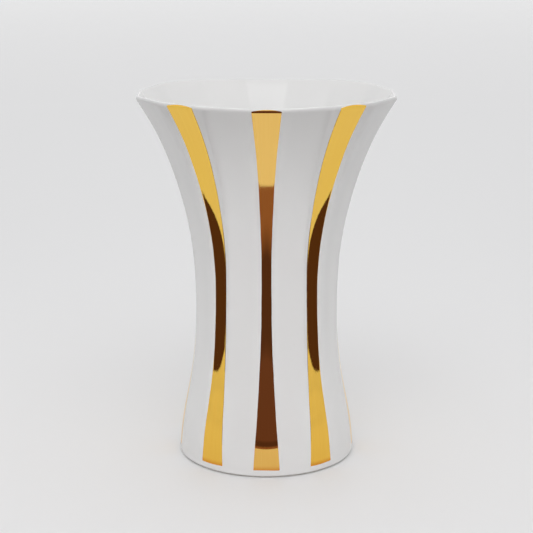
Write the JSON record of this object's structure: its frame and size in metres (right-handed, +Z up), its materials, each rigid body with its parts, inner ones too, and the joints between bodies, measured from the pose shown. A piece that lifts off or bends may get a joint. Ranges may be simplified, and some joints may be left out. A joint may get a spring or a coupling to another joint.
{
  "type": "porcelain vase",
  "caption": "White glazed porcelain vase with a flared, slightly squared mouth, a narrow waist, a round foot and vertical gilt stripes in shallow channels.",
  "frame": {"origin": "centre of the foot, on the surface that the vase stands on", "axes": "+Z up through the mouth, -Y towards the front, where one stripe runs down the middle, +X to the right for a viewer in front"},
  "size_m": [0.1746, 0.1736, 0.2512],
  "materials": {
    "porcelain": "smooth clear glaze over white porcelain, high gloss",
    "bare_clay": "unglazed ground foot, matte",
    "gilding": "fired bright gilding on the glaze, mirror-like with fine brush marks"
  },
  "bodies": {
    "root": {"vase_body": "porcelain", "foot_ring": "bare_clay", "gilt_stripe_1": "gilding", "gilt_stripe_2": "gilding", "gilt_stripe_3": "gilding", "gilt_stripe_4": "gilding", "gilt_stripe_5": "gilding", "gilt_stripe_6": "gilding", "gilt_stripe_7": "gilding", "gilt_stripe_8": "gilding"}
  },
  "joints": []
}
